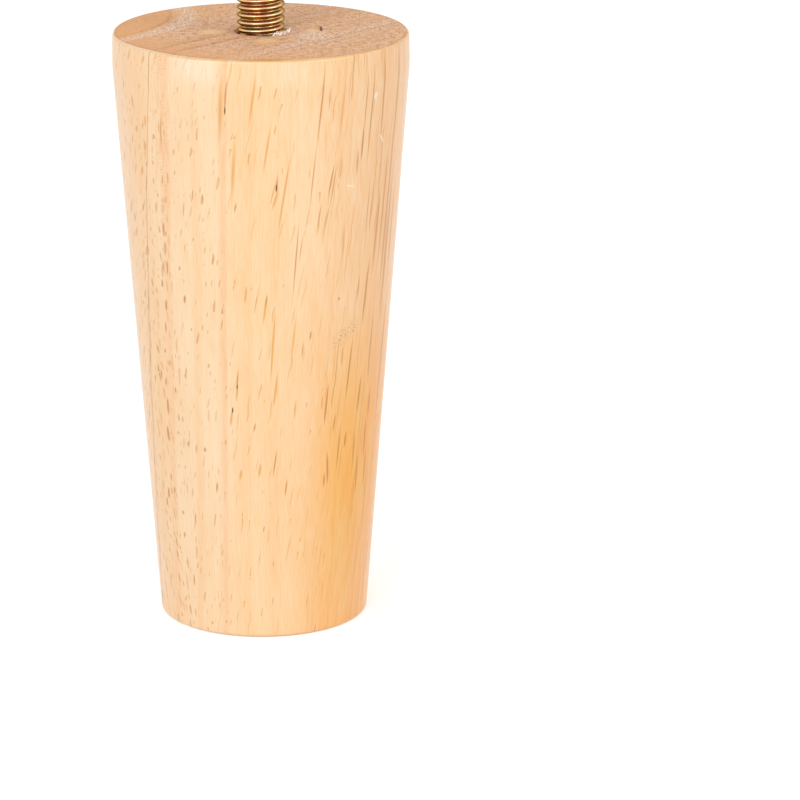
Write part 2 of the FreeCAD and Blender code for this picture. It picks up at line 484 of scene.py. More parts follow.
lean = math.degrees(math.atan(TAPER))
foot_middle = FOOT_RADIUS + TAPER * FOOT_ROUND - FOOT_ROUND / math.cos(math.radians(lean))
foot_end = arc(foot_middle, FOOT_ROUND, FOOT_ROUND, -90, -lean, 9)
corner = np.array([FOOT_RADIUS + TAPER * EASE_START, EASE_START])
inward = (corner[0] - EASE_RADIUS) / (LEG_LENGTH - EASE_START)
rim_height = LEG_LENGTH - RIM_ROUND
rim_middle = EASE_RADIUS + inward * RIM_ROUND - RIM_ROUND * math.hypot(1, inward)
rim = arc(rim_middle, rim_height, RIM_ROUND, math.degrees(math.atan(inward)), 90, 9)
bend = np.linspace(0, 1, 7)[:, None]
below, above = corner + [-TAPER * 1.2, -1.2], corner + [-inward * 1.2, 1.2]
ease = below * (1 - bend) ** 2 + corner * 2 * bend * (1 - bend) + above * bend**2
outside = np.concatenate([
    line((0, DIMPLE_DEPTH), (DIMPLE_RADIUS, 0.1), 6),
    line((DIMPLE_RADIUS + 0.15, 0), (9.6, 0), 8),
    line((9.8, 0), (11.6, 0), 25),
    line((12.2, 0), (foot_end[0, 0] - 0.2, 0), 5),
    foot_end,
    line(foot_end[-1] + [TAPER * 0.4, 0.4], below - [TAPER * 0.4, 0.4], 30),
    ease,
    line(above + [-inward * 0.4, 0.4], rim[0] + [inward * 0.3, -0.3], 4),
    rim,
    line((rim[-1, 0] - 0.3, LEG_LENGTH), (MOUTH_RADIUS + MOUTH_BEVEL, LEG_LENGTH), 24),
    line((MOUTH_RADIUS + MOUTH_BEVEL * 0.7, LEG_LENGTH - MOUTH_BEVEL * 0.3),
         (MOUTH_RADIUS, LEG_LENGTH - MOUTH_BEVEL), 3),
    line((MOUTH_RADIUS, LEG_LENGTH - 2), (MOUTH_RADIUS, SCREW_TOP), 3),
])
bore = np.concatenate([
    line((PILOT_RADIUS, SCREW_TOP), (PILOT_RADIUS, POINT_START), 97),
    line((PILOT_RADIUS, POINT_START - 1), (PILOT_RADIUS, BORE_BOTTOM), 4),
    [(0, BORE_BOTTOM - PILOT_RADIUS / math.tan(math.radians(59)))],
])
print("profile points:", len(outside), "outside and", len(bore), "in the bore")

# %% [markdown]
# The pressed ring isn't even: the cup bit deep on one side and only scratched the other. Its depth
# is a slow function of the turn, and its path wanders by a tenth of a millimetre. The bore's wall
# carries the same ridge as the bolt, a hair larger all round.

# %% Leg mesh
LEG_COLUMNS = 240
RING_RADIUS = 10.7
RING_DEPTH = 0.4

turn = 2 * np.pi * np.arange(LEG_COLUMNS) / LEG_COLUMNS
radius = outside[:, :1] * np.ones(LEG_COLUMNS)
height = outside[:, 1:] * np.ones(LEG_COLUMNS)

ring_path = RING_RADIUS + 0.08 * np.sin(2 * turn + 0.6) + 0.05 * np.sin(5 * turn)
ring_bite = 0.45 + 0.3 * np.sin(turn - 0.4) + 0.15 * np.sin(3 * turn + 1.1) + 0.1 * np.sin(7 * turn)
ring_cut = np.exp(-(((radius - ring_path) / 0.24) ** 2)) * np.clip(ring_bite, 0.05, 1)
on_foot = (np.abs(height) < 1e-6) & (radius > 9)
height = height + RING_DEPTH * ring_cut * on_foot

bore_turn = turn / (2 * np.pi)
bore_height = bore[:, 1:] * np.ones(LEG_COLUMNS)
bore_phase = bore_height / SCREW_PITCH - bore_turn
bore_ridge = screw_ridge(bore_phase) * screw_fade(bore_height)
bore_radius = bore[:, :1] + bore_ridge * (bore_height < SCREW_TOP)

leg = put_in_mesh(
    "turned_wooden_leg",
    *round_grid(np.concatenate([radius, bore_radius]), np.concatenate([height, bore_height]), turn),
)
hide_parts("leg_body")
print("leg:", len(leg.data.vertices), "points", len(leg.data.polygons), "faces")

# %% [markdown]
# ## Torn fibres at the stud
#
# A few pale fibres are torn out of the end grain and stand up at the right of the stud. Each is a
# thin curved sliver with three corners across, thick at its root under the face and shrinking to
# nothing at its tip. A seeded draw gives each its place, length and lean.

# %% Torn fibres
FIBRE_COUNT = 32
FIBRE_RINGS = 7

draw = np.random.default_rng(7)
root_turn = np.radians(draw.uniform(-64, -2, FIBRE_COUNT))[:, None]
root_radius = draw.uniform(4.15, 4.8, FIBRE_COUNT)[:, None]
fibre_reach = draw.uniform(0.5, 1.35, FIBRE_COUNT)[:, None]
fibre_thick = draw.uniform(0.08, 0.16, FIBRE_COUNT)[:, None]
fibre_swing = draw.uniform(-0.9, 0.9, FIBRE_COUNT)[:, None]
fibre_lift = draw.uniform(0.2, 0.6, FIBRE_COUNT)[:, None]

part = np.linspace(0, 1, FIBRE_RINGS)[None, :]
path_radius = root_radius + 0.35 * fibre_reach * part**2
path_turn = root_turn + fibre_swing * fibre_reach * part / root_radius
path_height = LEG_LENGTH - 0.3 + (0.3 + fibre_lift * fibre_reach) * np.sin(part * np.pi * 0.62)
thick = fibre_thick * (1 - part**2)
corner_angle = 2 * np.pi * np.arange(3) / 3
wall_radius = path_radius[..., None] + thick[..., None] * np.cos(corner_angle)
side_step = thick[..., None] * np.sin(corner_angle) / path_radius[..., None]
swept = path_turn[..., None] + side_step
fibre_points = np.stack(
    [wall_radius * np.cos(swept), wall_radius * np.sin(swept),
     path_height[..., None] + 0 * wall_radius], axis=-1
).reshape(-1, 3)

ring_index, corner_index = np.meshgrid(np.arange(FIBRE_RINGS - 1), np.arange(3), indexing="ij")
next_corner = (corner_index + 1) % 3
walls = np.stack(
    [ring_index * 3 + corner_index, ring_index * 3 + next_corner,
     ring_index * 3 + 3 + next_corner, ring_index * 3 + 3 + corner_index], axis=-1
).reshape(-1, 4)
one_fibre = np.concatenate([walls, [[0, 2, 1, 1]]])
fibre_faces = (np.arange(FIBRE_COUNT) * FIBRE_RINGS * 3)[:, None, None] + one_fibre[None]
fibres = put_in_mesh("torn_fibres", fibre_points, fibre_faces.reshape(-1, 4))
print("torn fibres:", FIBRE_COUNT, "slivers,", len(fibres.data.polygons), "faces")

# %% [markdown]
# ## The wood's finish: where a point is
#
# The wood is pale, with long open pores and growth rings. A straight pore that meets the cone's side
# at a slant is cut open as a short dash, and as a dot on the end grain. So the side's pattern is
# drawn on the cone rolled out flat, with the turn as one direction and the height as the other.
#
# The growth rings stand upright in this leg, and cross the top face from the front left to the back
# right. Their coordinate is the distance along the direction square to them, and it leans a little
# with the height, as the tree's grain does. One ring line runs down the left of the side. The wood
# beyond it is rolled out by itself, cut open where the rest of the leg covers the cut.

# %% Places on the wood
ROLL_RADIUS = 21.5
RING_DIRECTION = (0.77, -0.64)
RING_LEAN = 0.07
LEFT_RING = -5.3
LEFT_PART_SHIFT = 300.0

wood = Finish("lacquered_wood")
place = wood.node("ShaderNodeTexCoord", {}, "Object")
place = wood.node("ShaderNodeVectorMath", {0: place, "Scale": 1 / MM}, operation="SCALE")
split = wood.node("ShaderNodeSeparateXYZ", {0: place}, None)
x, y, z = split.outputs

# Short names for the steps that every line of this finish uses.
calc, times, plus, minus, larger = wood.calc, wood.times, wood.plus, wood.minus, wood.larger
rise, span, bump_round, pick = wood.rise, wood.span, wood.bump_round, wood.pick
blend, tint, noise, vector, length = wood.blend, wood.tint, wood.noise, wood.vector, wood.length

leaning_x = plus(x, times(minus(LEG_LENGTH, z), RING_LEAN))
ring = times(leaning_x, RING_DIRECTION[0])
ring = calc("MULTIPLY_ADD", y, RING_DIRECTION[1], ring)
sway = noise(vector(x, y, times(z, 0.2)), 0.12, 2)
ring_swayed = plus(ring, span(sway, 0, 1, -1.3, 1.3))
shiver = noise(vector(0, times(x, 0.3), z), 0.12, 3)
left_ring = span(z, 20, 75, LEFT_RING, LEFT_RING + 1.3)
left_ring = plus(left_ring, span(rise(z, 70, 98), 0, 1, 0, 1.6))
past_left_ring = minus(ring, left_ring)
past_left_ring = plus(past_left_ring, span(shiver, 0, 1, -0.5, 0.5))
on_left = calc("LESS_THAN", past_left_ring, 0)

turn_main = calc("ARCTAN2", y, x)
turn_left = calc("ARCTAN2", y, times(x, -1))
along_main = times(plus(turn_main, math.pi / 2), ROLL_RADIUS)
along_left = plus(times(turn_left, ROLL_RADIUS), LEFT_PART_SHIFT)
around = pick(on_left, along_main, along_left)
degrees = times(calc("ARCTAN2", x, times(y, -1)), math.degrees(1))
not_behind = times(rise(degrees, 172, 128), rise(degrees, -172, -128))
from_axis = length(x, y)
facing = wood.node("ShaderNodeNewGeometry", {}, "Normal")
steep = calc("ABSOLUTE", wood.node("ShaderNodeSeparateXYZ", {0: facing}, 2))
print("places: turn, height, growth ring and how steeply the face looks up or down")

# %% [markdown]
# ## Which way the grain leans
#
# No stick of wood is quite straight. On this leg the grain leans one way left of the third ring line
# and the other way right of it, and stands upright at the far right. The lean is worked out first
# and given to every set of dashes, and a slow waver keeps neighbours from being parallel.

# %% Grain lean
turn_share = rise(degrees, -48, -30)
lean_main = pick(turn_share, span(z, 30, 90, -0.2, 0.06), 0.17)
lean_main = minus(lean_main, times(rise(degrees, 8, 70), 0.14))
grain_lean = pick(on_left, lean_main, -0.22)
lean_play = noise(vector(around, times(z, 0.25)), 0.3, 1)
grain_lean = plus(grain_lean, span(lean_play, 0, 1, -0.1, 0.1))

waver = noise(vector(times(around, 0.25), times(z, 0.22)), 1, 2)
around_wavy = plus(around, span(waver, 0, 1, -0.45, 0.45))
print("grain lean ready")

# %% [markdown]
# ## Pores cut open as dashes
#
# The rolled-out side is divided into long cells, each with one scattered point, the middle of a
# dash. Along the grain the dash narrows to a point at both ends, and across it the edge is soft,
# because the lacquer has soaked in. Pores come in crowds, so a slow cloud says how many of the cells
# have one. Few dashes are dark and most are faint, which the square of a random number gives.

# %% Dashes
def dashes(cell_around, cell_along, half_width, half_length, share, seed, soft=0.2):
    """One set of open pores, as darkness from 0 to 1. The offset across a dash is the gap to its
    middle around the leg less lean times the gap in height. Its half width shrinks with the
    square of the place along it, and a random number under share says that the cell has one."""
    cell_x = calc("MULTIPLY_ADD", around_wavy, 1 / cell_around, seed)
    cell_y = calc("MULTIPLY_ADD", z, 1 / cell_along, seed * 1.7)
    cells = wood.node(
        "ShaderNodeTexVoronoi", {"Vector": vector(cell_x, cell_y), "Scale": 1}, None,
        voronoi_dimensions="2D",
    )
    middle = wood.node("ShaderNodeSeparateXYZ", {0: cells.outputs["Position"]}, None)
    chance = wood.node("ShaderNodeSeparateColor", {0: cells.outputs["Color"]}, None)
    gap_x = times(minus(cell_x, middle.outputs[0]), cell_around)
    gap_z = times(minus(cell_y, middle.outputs[1]), cell_along)
    across = calc("ABSOLUTE", minus(gap_x, times(grain_lean, gap_z)))
    reach = span(chance.outputs[1], 0, 1, half_length * 0.4, half_length * 1.6)
    part = calc("DIVIDE", gap_z, reach)
    body = minus(1, times(part, part))
    width = times(span(chance.outputs[2], 0, 1, 0.7, 1.3), half_width)
    edge = times(width, larger(body, 0.02))
    shape = rise(across, edge, times(edge, soft))
    shape = times(shape, rise(body, 0, 0.4))
    there = calc("LESS_THAN", chance.outputs[0], share)
    odds = calc("DIVIDE", chance.outputs[0], larger(share, 0.05))
    strength = calc("MULTIPLY_ADD", times(odds, odds), 0.7, 0.3)
    return times(shape, there, strength)


crowd = rise(noise(vector(around, times(z, 0.45)), 0.33, 2, 0.6), 0.36, 0.6)
left_side = larger(on_left, rise(degrees, -36, -42))
right_side = times(rise(degrees, 20, 34), not_behind)
middle_side = times(rise(degrees, -17, -11), rise(degrees, 42, 26))
short_share = calc("MULTIPLY_ADD", left_side, 0.42, 0.42)
short_share = times(short_share, rise(degrees, -10, -18))
short_share = larger(short_share, times(on_left, 0.8))
short_share = times(short_share, span(crowd, 0, 1, 0.45, 1))
short_pores = dashes(1.5, 2.7, pick(left_side, 0.25, 0.34), 0.95, short_share, 3.1)
small_pores = dashes(1, 1.9, 0.18, 0.55, times(short_share, 0.75), 11.7)
middle_share = times(middle_side, span(crowd, 0, 1, 0.2, 0.75))
middle_pores = dashes(1.9, 6.4, 0.17, 2.1, middle_share, 17.3)
line_share = calc("MULTIPLY_ADD", right_side, 0.4, 0.04)
long_lines = dashes(1.3, 25, 0.19, 8.5, line_share, 23.9)
hair_lines = dashes(0.7, 17, 0.12, 7, times(right_side, 0.75), 37.3)
print("five sets of dashes")

# %% [markdown]
# ## Marks listed one by one
#
# Some marks are this leg's own: a few pores that caught dirt and are nearly black, the longest lines
# at the right, and a few pale scratches. Each is one ellipse on the rolled-out side, given
# by its upper and lower end, as degrees round from the front and height, and by half its width.

# %% Listed marks
rolled_out = vector(along_main, z)


def marks(table):
    """The darkest of a list of marks at each point: (degrees, height) of the upper and lower end,
    half width, strength. Each is a ball turned, shifted and stretched to its ellipse."""
    total = 0.0
    for turn_high, high, turn_low, low, half_width, strength in table:
        start, end = math.radians(turn_high) * ROLL_RADIUS, math.radians(turn_low) * ROLL_RADIUS
        half_length = math.hypot(start - end, high - low) / 2
        ellipse = wood.node(
            "ShaderNodeMapping",
            {
                "Vector": rolled_out,
                "Location": ((start + end) / 2, (high + low) / 2, 0),
                "Rotation": (0, 0, math.atan2(end - start, high - low)),
                "Scale": (half_width * 1.3, half_length * 1.2, 1),
            },
            vector_type="TEXTURE",
        )
        ball = wood.node("ShaderNodeTexGradient", {"Vector": ellipse}, 1, gradient_type="SPHERICAL")
        total = larger(total, times(ball, strength))
    return rise(total, 0.02, 0.62)


black_marks = marks([
    (-11.9, 92.6, -12.2, 91, 0.14, 0.8), (7.8, 79.7, 7.6, 78.2, 0.14, 1),
    (-12.1, 41.2, -12.4, 40, 0.15, 1), (-9.7, 45.3, -9.9, 44.2, 0.13, 0.8),
    (36.8, 59.3, 36.7, 58.7, 0.18, 0.6),
])
brown_marks = marks([
    (-11, 97.5, -12.3, 91, 0.16, 0.8), (-9.1, 48, -10.2, 43.6, 0.15, 0.9),
    (46.8, 97.5, 45.6, 86, 0.14, 0.8), (45.6, 88, 45, 82, 0.18, 1.3),
    (26.8, 100, 23.8, 85, 0.15, 0.85), (24, 87, 21, 73.4, 0.13, 0.6),
    (31.8, 82.4, 29.3, 76.6, 0.15, 1), (33.2, 83, 30.2, 74.5, 0.13, 0.7),
    (30.6, 76, 27.3, 70, 0.13, 0.6), (26.8, 77, 24.4, 69.8, 0.16, 0.5),
    (17.3, 74.5, 14.6, 58.5, 0.14, 0.7), (19.2, 71.8, 16.8, 64.8, 0.14, 0.5),
    (28.8, 95.6, 28.5, 91, 0.13, 0.6), (50.6, 98.5, 48.4, 81, 0.15, 1),
    (53.2, 77, 52.4, 69, 0.16, 0.6), (51.4, 81, 49.8, 66, 0.14, 0.6),
    (48, 62.6, 47.3, 58, 0.16, 0.8), (54, 65, 51.4, 53, 0.22, 1.1),
    (46, 52, 43.4, 40.6, 0.18, 1.1), (33.1, 44.4, 31.5, 37.2, 0.18, 1.4),
    (53.3, 44.4, 51.9, 38, 0.2, 1.4), (8.1, 81.4, 7.6, 77.6, 0.13, 0.8),
    (37.8, 39, 36.6, 35.6, 0.17, 0.9),
    (41.4, 37, 39.7, 28.4, 0.17, 0.9), (45, 35.4, 44.1, 32.4, 0.2, 1.2),
    (34, 32.6, 34.8, 26.4, 0.2, 1.1), (32.8, 29, 32.7, 26, 0.2, 0.9),
    (23.5, 54.2, 23, 52.4, 0.16, 0.9), (20, 52.6, 19.4, 49.2, 0.14, 0.7),
    (8.4, 34, 6.4, 28.8, 0.15, 0.9), (13.4, 28.6, 12.3, 25.2, 0.15, 0.9),
    (-21, 27.8, -21.8, 25.6, 0.2, 0.8), (-8.2, 76.6, -9.4, 74.6, 0.16, 0.7),
    (3.9, 60.8, 3, 58.6, 0.15, 0.8), (-1.6, 38.6, -2.6, 36.8, 0.16, 0.8),
    (-33.4, 59.8, -33.8, 58.2, 0.24, 1), (-40.4, 90.5, -41.4, 83, 0.13, 0.8),
    (-42.9, 71.8, -43.2, 69.2, 0.26, 0.9), (-42.6, 68.4, -42.8, 65.8, 0.18, 0.9),
    (-42, 65.2, -42.6, 62.4, 0.2, 1), (-44.8, 65, -45, 62.8, 0.2, 0.8),
    (-46.3, 61.8, -46.1, 60.2, 0.2, 0.9), (-44.7, 58.2, -44.8, 56.2, 0.26, 1.1),
    (-45.8, 54.4, -46.2, 52.2, 0.2, 0.9), (-47.6, 49.6, -47.8, 48.6, 0.24, 0.8),
    (-48.6, 40.8, -48.7, 37.8, 0.3, 1.2), (-50.4, 35.8, -49.8, 33, 0.32, 1.4),
    (-52, 45.6, -51.6, 43.8, 0.24, 0.9), (-54, 46.4, -54.4, 44.8, 0.26, 0.8),
    (-48.8, 44.4, -48.8, 42.8, 0.24, 0.9), (-53.2, 24.6, -53.8, 22.4, 0.34, 1.1),
    (-48.2, 25.2, -48.6, 23.8, 0.28, 0.9), (-50.2, 27.6, -50.6, 25.8, 0.24, 0.8),
    (-55.6, 22.8, -56, 21, 0.3, 0.9), (-36.2, 34.2, -37, 33, 0.28, 0.6),
    (-42.4, 43.2, -42.6, 42, 0.24, 0.8), (-35.6, 46.2, -35.8, 44.9, 0.22, 0.6),
])
wide_marks = marks([
    (68.6, 102, 67.3, 82, 0.32, 1), (67.4, 90, 65.8, 70, 0.3, 0.9),
    (63.2, 84.6, 60.7, 63.4, 0.28, 1), (66.3, 79.6, 64, 58, 0.32, 1.1),
    (69.2, 77.6, 66.4, 52.6, 0.34, 1.2), (58.9, 76.6, 56.5, 61.8, 0.28, 1.1),
    (73, 78.6, 72, 56, 0.4, 0.7), (43.2, 84.4, 42.8, 79.6, 0.22, 0.8),
    (57, 102, 56.2, 82, 0.22, 0.9), (35.9, 99, 33, 83.5, 0.3, 0.5),
    (59.8, 55.2, 58.8, 42, 0.26, 0.9), (73.6, 57.6, 70.8, 34, 0.5, 0.9),
    (59.7, 37, 59.9, 28.8, 0.3, 0.9), (55, 31.4, 54, 22.8, 0.26, 0.9),
    (61.9, 31.2, 61.3, 23.8, 0.3, 0.8), (51.2, 35.6, 50.8, 27.8, 0.3, 0.7),
    (40.2, 50.8, 39.9, 46.8, 0.24, 0.8),
    (30.3, 42.8, 29.8, 39.8, 0.22, 0.8), (38, 73, 37.4, 64, 0.24, 0.6),
    (62, 42, 61.2, 36, 0.34, 0.8), (8.6, 78.8, 5.8, 75, 0.22, 0.8),
    (-12.3, 40.8, -13.6, 37.6, 0.22, 1), (-9.5, 45, -10.6, 42, 0.2, 0.8),
    (13.2, 84.5, 8.2, 70.8, 0.18, 1), (5.6, 90, 2.2, 80.8, 0.16, 0.9),
    (-8.2, 88, -10.6, 75, 0.36, 0.6), (0.2, 98.5, -3.2, 88.5, 0.2, 0.8),
    (7.4, 58.5, 5.2, 45, 0.17, 1.1), (8.6, 47.5, 6.6, 41, 0.2, 1.1),
    (4, 61, 2, 55.5, 0.18, 1), (-4.6, 62.3, -5.8, 59, 0.18, 0.9),
    (16.6, 57.5, 14.2, 48, 0.18, 0.7), (-13, 99, -14.8, 84, 0.4, 0.6),
    (0.6, 31.5, -0.4, 28.8, 0.25, 0.9), (-8.6, 30.4, -9.6, 28.2, 0.25, 0.8),
    (17, 42.6, 16.4, 38.6, 0.2, 0.7), (-49.4, 89.4, -49.8, 87.2, 0.22, 1),
    (-50.9, 85, -51.3, 83, 0.25, 1), (-54, 80.4, -54.3, 78.6, 0.24, 0.9),
    (-45.2, 47.8, -45.4, 46.4, 0.6, 0.6), (-46.6, 81.9, -46.7, 81, 0.24, 0.9),
    (-40.8, 76.2, -41, 74.8, 0.4, 0.7), (-45, 76.4, -45.2, 75.7, 0.26, 0.9),
    (-42.8, 90.8, -43, 89.8, 0.3, 0.5), (-57.9, 92, -57.4, 89.6, 0.3, 0.9),
])
pale_marks = marks([
    (42, 77.9, 37.4, 78.3, 0.14, 1), (51.8, 93.2, 50.9, 91.8, 0.4, 0.9),
    (58.8, 84, 55.6, 85.8, 0.18, 1),
])

# %% [markdown]
# ## The side's colour
#
# The wood is cream under a clear lacquer. Soft tones lie over it: pale cream left of the front,
# which also carries a painted broad highlight, and pinkish tan beyond the left ring line and at the
# right. A pale strip under the rim at the front is a painted highlight. Gold low on the right and
# amber at the far right are painted warm bounce light from the lower right, and the deeper gold near
# the floor is partly the wood's tone and partly painted bounce light and shade. Each ring line is a
# warm band with one sharp edge, fading the other way. The fine rings show best at the right, where
# the side runs along them and spreads them out.

# %% Side colour
CREAM = colour(0.94, 0.645, 0.36)
PALE = colour(0.96, 0.73, 0.48)
HONEY = colour(0.92, 0.54, 0.245)
PINK_TAN = colour(0.93, 0.57, 0.3)
GOLD = colour(0.94, 0.45, 0.09)
AMBER = colour(0.92, 0.36, 0.045)
GOLD_TINT = colour(1.0, 0.87, 0.42)
RIM_HIGHLIGHT_PAINT = colour(1.0, 0.9, 0.74)
RING_TONE = colour(0.9, 0.51, 0.26)
RIM_TONE = colour(0.85, 0.43, 0.1)
PORE_TAN = colour(0.6, 0.255, 0.065)
PORE_GOLD = colour(0.76, 0.33, 0.05)
LINE_BROWN = colour(0.58, 0.225, 0.035)
WIDE_BROWN = colour(0.6, 0.235, 0.04)
PORE_BLACK = colour(0.15, 0.06, 0.015)
SCRATCH_PALE = colour(0.95, 0.88, 0.78)
LEFT_LINE = colour(0.46, 0.2, 0.045)
RAY_PINK = colour(0.88, 0.46, 0.22)
SMUDGE_GREY = colour(0.33, 0.22, 0.14)

ring_line = vector(ring_swayed, times(around, 0.02), times(z, 0.006))
ring_slow = noise(ring_line, 0.35, 2, 0.6)
ring_fine = noise(ring_line, 2.6, 3, 0.65)
cloud = noise(vector(around, times(z, 0.3)), 0.14, 3, 0.55)
print("noises for rings, fine rings and clouds")

# %% Broad tones of the side
# Pale cream left of the front: partly the wood's paler tone and partly a painted broad highlight.
pale_side_and_painted_highlight = times(rise(degrees, -56, -44), rise(degrees, -8, -18))
side = tint(CREAM, PALE, pale_side_and_painted_highlight, 0.8)
side = tint(side, HONEY, rise(ring_slow, 0.52, 0.32), 0.6)
side = tint(side, PINK_TAN, right_side, 0.7)
# Painted warm bounce light: gold low on the right.
painted_bounce_low = times(rise(z, 66, 22), rise(degrees, 2, 48), rise(degrees, 170, 84))
side = tint(side, GOLD, painted_bounce_low, 0.85)
# Painted warm bounce light: amber at the far right, strongest low down.
painted_bounce_far_right = times(rise(degrees, 38, 72), rise(degrees, 135, 90))
side = tint(side, AMBER, painted_bounce_far_right, span(z, 30, 95, 0.85, 0.36))
light_area = times(bump_round(degrees, 22, 16), bump_round(z, 74, 30))
side = tint(side, PALE, light_area, 0.65)
light_left = times(bump_round(degrees, -47, 11), rise(z, 56, 70))
side = tint(side, PALE, light_left, 0.5)
# Painted highlight: a pale strip just under the rim at the front left, and a weaker one right of the
# front.
painted_rim_highlight = larger(bump_round(degrees, -26, 17), times(bump_round(degrees, 13, 11), 0.6))
painted_rim_highlight = times(painted_rim_highlight, rise(z, 94.5, 98), rise(steep, 0.5, 0.2))
side = tint(side, RIM_HIGHLIGHT_PAINT, painted_rim_highlight, 0.5)
side = tint(side, PINK_TAN, on_left, 0.55)
side = blend(span(cloud, 0.4, 0.7, 0, 0.35), side, HONEY)
side = blend(span(cloud, 0.5, 0.3, 0, 0.3), side, PALE)
print("broad tones ready")


# %% Rings and fine grain of the side
def ring_band(middle, sharp, fade):
    """The warm band of one ring line: sharp on its far side, fading over some millimetres."""
    far = rise(minus(ring, middle), sharp, 0)
    near = rise(minus(ring, middle), -fade, 0)
    return times(far, near)


play = noise(vector(0, 0, z), 0.07, 2)
side = tint(side, RING_TONE, ring_band(11.6, 0.6, 1.4), span(play, 0.3, 0.7, 0.4, 0.85))
side = tint(side, PINK_TAN, ring_band(1.4, 0.8, 2.2), 0.75)
fine_tone = times(rise(ring_fine, 0.46, 0.62), pick(right_side, 0.2, 0.7))
side = blend(fine_tone, side, HONEY)
fibre = noise(vector(around_wavy, times(z, 0.05)), 4, 3, 0.7)
side = blend(span(fibre, 0.45, 0.7, 0, 0.45), side, PALE)
side = tint(side, HONEY, span(fibre, 0.52, 0.3, 0, 1), pick(right_side, 0.4, 0.75))
thread_line = noise(vector(around_wavy, times(z, 0.03), 4), 2.2, 3, 0.75)
thread_line = times(rise(thread_line, 0.56, 0.68), right_side)
side = tint(side, PORE_GOLD, thread_line, 0.35)
print("side tones ready")

# %% Pores and marks on the side
short_dark = larger(short_pores, times(small_pores, 0.7))
short_dark = times(short_dark, span(z, 72, 96, 1, 0.6))
line_dark = larger(long_lines, times(hair_lines, 0.7))
side = blend(middle_pores, side, PORE_GOLD)
wide_tone = blend(rise(degrees, 30, 55), PORE_GOLD, WIDE_BROWN)
side = tint(side, wide_tone, wide_marks, 0.75)
side = tint(side, PORE_TAN, short_dark, 0.9)
side = tint(side, LINE_BROWN, line_dark, 0.7)
side = tint(side, LINE_BROWN, brown_marks, 0.85)
side = blend(black_marks, side, PORE_BLACK)
# Partly the wood's deeper gold and partly painted warm bounce light and contact shade, low at the right
# and weaker right by the floor.
gold_tone_and_painted_bounce = times(rise(z, 62, 28), rise(degrees, 20, 50), rise(degrees, 150, 96))
gold_tone_and_painted_bounce = times(gold_tone_and_painted_bounce, span(z, 4, 27, 0.35, 1))
side = blend(gold_tone_and_painted_bounce, side, GOLD_TINT, "MULTIPLY")
side = tint(side, SCRATCH_PALE, pale_marks, 0.7)
print("pores and marks laid over the side")

# %% Left ring line, ray flecks and smudge
line_play = noise(vector(0, 5, z), 0.2, 3, 0.6)
line_strong = larger(rise(line_play, 0.5, 0.66), rise(z, 92, 96))
line_width = span(z, 100, 20, 0.16, 0.5)
left_line = rise(calc("ABSOLUTE", past_left_ring), line_width, 0)
left_line = times(left_line, span(line_strong, 0, 1, 0.4, 0.85))
side = blend(left_line, side, LEFT_LINE)

ray_zone = bump_round(ring, 0.6, 3.2)
ray_zone = times(ray_zone, span(rise(z, 66, 80), 0, 1, 0.25, 1))
ray_grid = vector(times(around, 1.1), times(z, 4.6))
ray_mark = rise(noise(ray_grid, 1, 2, 0.4), 0.5, 0.62)
ray_patch = rise(noise(vector(around, times(z, 0.5)), 0.35, 1), 0.4, 0.54)
ray_mark = times(ray_mark, ray_patch, ray_zone)
ray_streak = noise(vector(times(around, 2.4), times(z, 0.22)), 1, 2)
ray_streak = times(rise(ray_streak, 0.48, 0.66), ray_zone)
ray_mark = larger(ray_mark, times(ray_streak, 0.8))
side = tint(side, RAY_PINK, ray_mark, 0.75)

smudge = bump_round(calc("MULTIPLY_ADD", z, 1, times(along_main, -0.45)), 45.8, 2.4)
smudge = times(smudge, bump_round(along_main, 15.4, 4.4))
smudge_speck = rise(noise(vector(around, z), 2.6, 3, 0.7), 0.54, 0.68)
smudge = rise(times(smudge, smudge_speck), 0.04, 0.34)
side = tint(side, SMUDGE_GREY, smudge, 0.8)
print("ring line, ray flecks and smudge ready")

# %% [markdown]
# ## The end grain
#
# On the two ends the pores are cut square, as dots, and the ring lines show as dark arcs. The top is
# bare: end grain drinks the finish, so it is darker, pinker and duller than the side. Pale fuzz
# stands in streaks along two of the rings, and three patches by the stud are yellow. The lacquer of
# the side wraps over the rim and ends on the face as a thin ring, wider at the front than at the
# sides. The foot is lacquered over, so it is paler, and the lathe's marks in it hold more lacquer.

# %% End grain colour
END_TAN = colour(0.87, 0.455, 0.2)
END_PINK = colour(0.88, 0.505, 0.28)
END_BROWN = colour(0.48, 0.2, 0.075)
END_ORANGE = colour(0.84, 0.4, 0.14)
END_WARM = colour(0.66, 0.29, 0.1)
END_LINE = colour(0.54, 0.19, 0.045)
END_LIGHT = colour(0.95, 0.68, 0.46)
FUZZ = colour(0.97, 0.88, 0.78)
PATCH_YELLOW = colour(1.0, 0.64, 0.26)
PIT_BROWN = colour(0.22, 0.05, 0.01)
MOUTH_SHADE_BROWN = colour(0.12, 0.05, 0.02)
CHIP_GREY = colour(0.46, 0.38, 0.32)
FOOT_TAN = colour(0.95, 0.62, 0.38)
FOOT_GOLD = colour(0.78, 0.42, 0.1)
END_RINGS = ((-2.8, 0.85, 0.5, 1), (1, 0.85, 0.5, -3), (12.9, 0.6, 0.55, 16))

